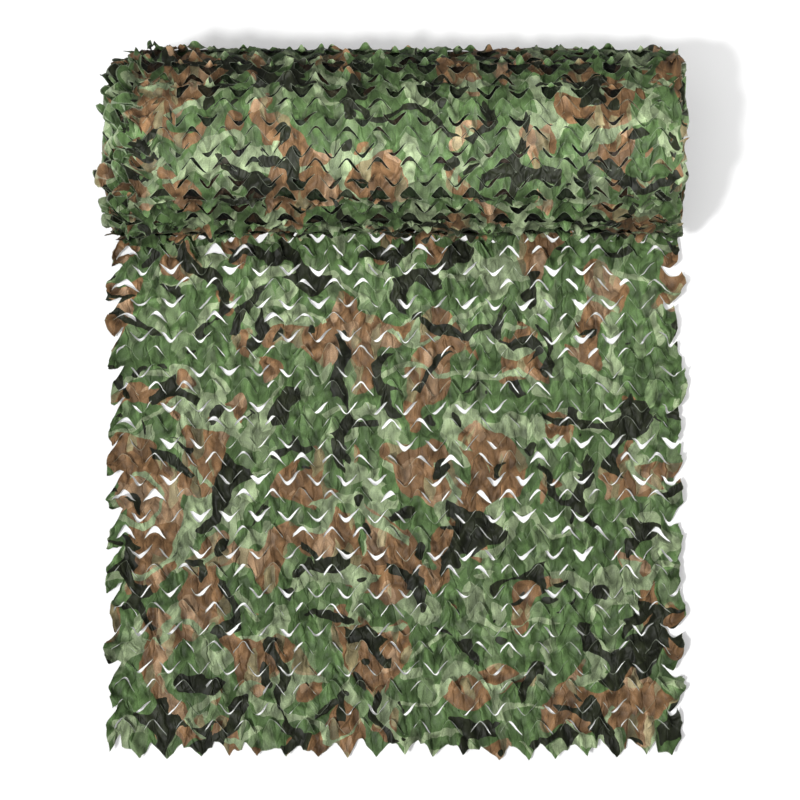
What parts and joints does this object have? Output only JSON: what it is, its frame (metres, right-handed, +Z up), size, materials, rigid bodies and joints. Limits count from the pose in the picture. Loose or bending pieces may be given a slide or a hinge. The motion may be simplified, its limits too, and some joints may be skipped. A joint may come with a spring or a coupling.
{
  "type": "camouflage net",
  "caption": "Length of die-cut camouflage net lying flat at one end, the rest wound into a thick roll that rests on it.",
  "frame": {"origin": "on the floor, under the middle of the whole length", "axes": "+X across the net, along the roll; +Y along the net from the loose end's hem to the roll; +Z up"},
  "size_m": [1.5522, 1.8854, 0.4221],
  "materials": {
    "net_wound": "printed polyester, woodland pattern, slight sheen",
    "net_loose": "printed polyester, woodland pattern, slight sheen"
  },
  "bodies": {
    "root": {"roll": "net_wound", "loose_end": "net_loose"}
  },
  "joints": []
}
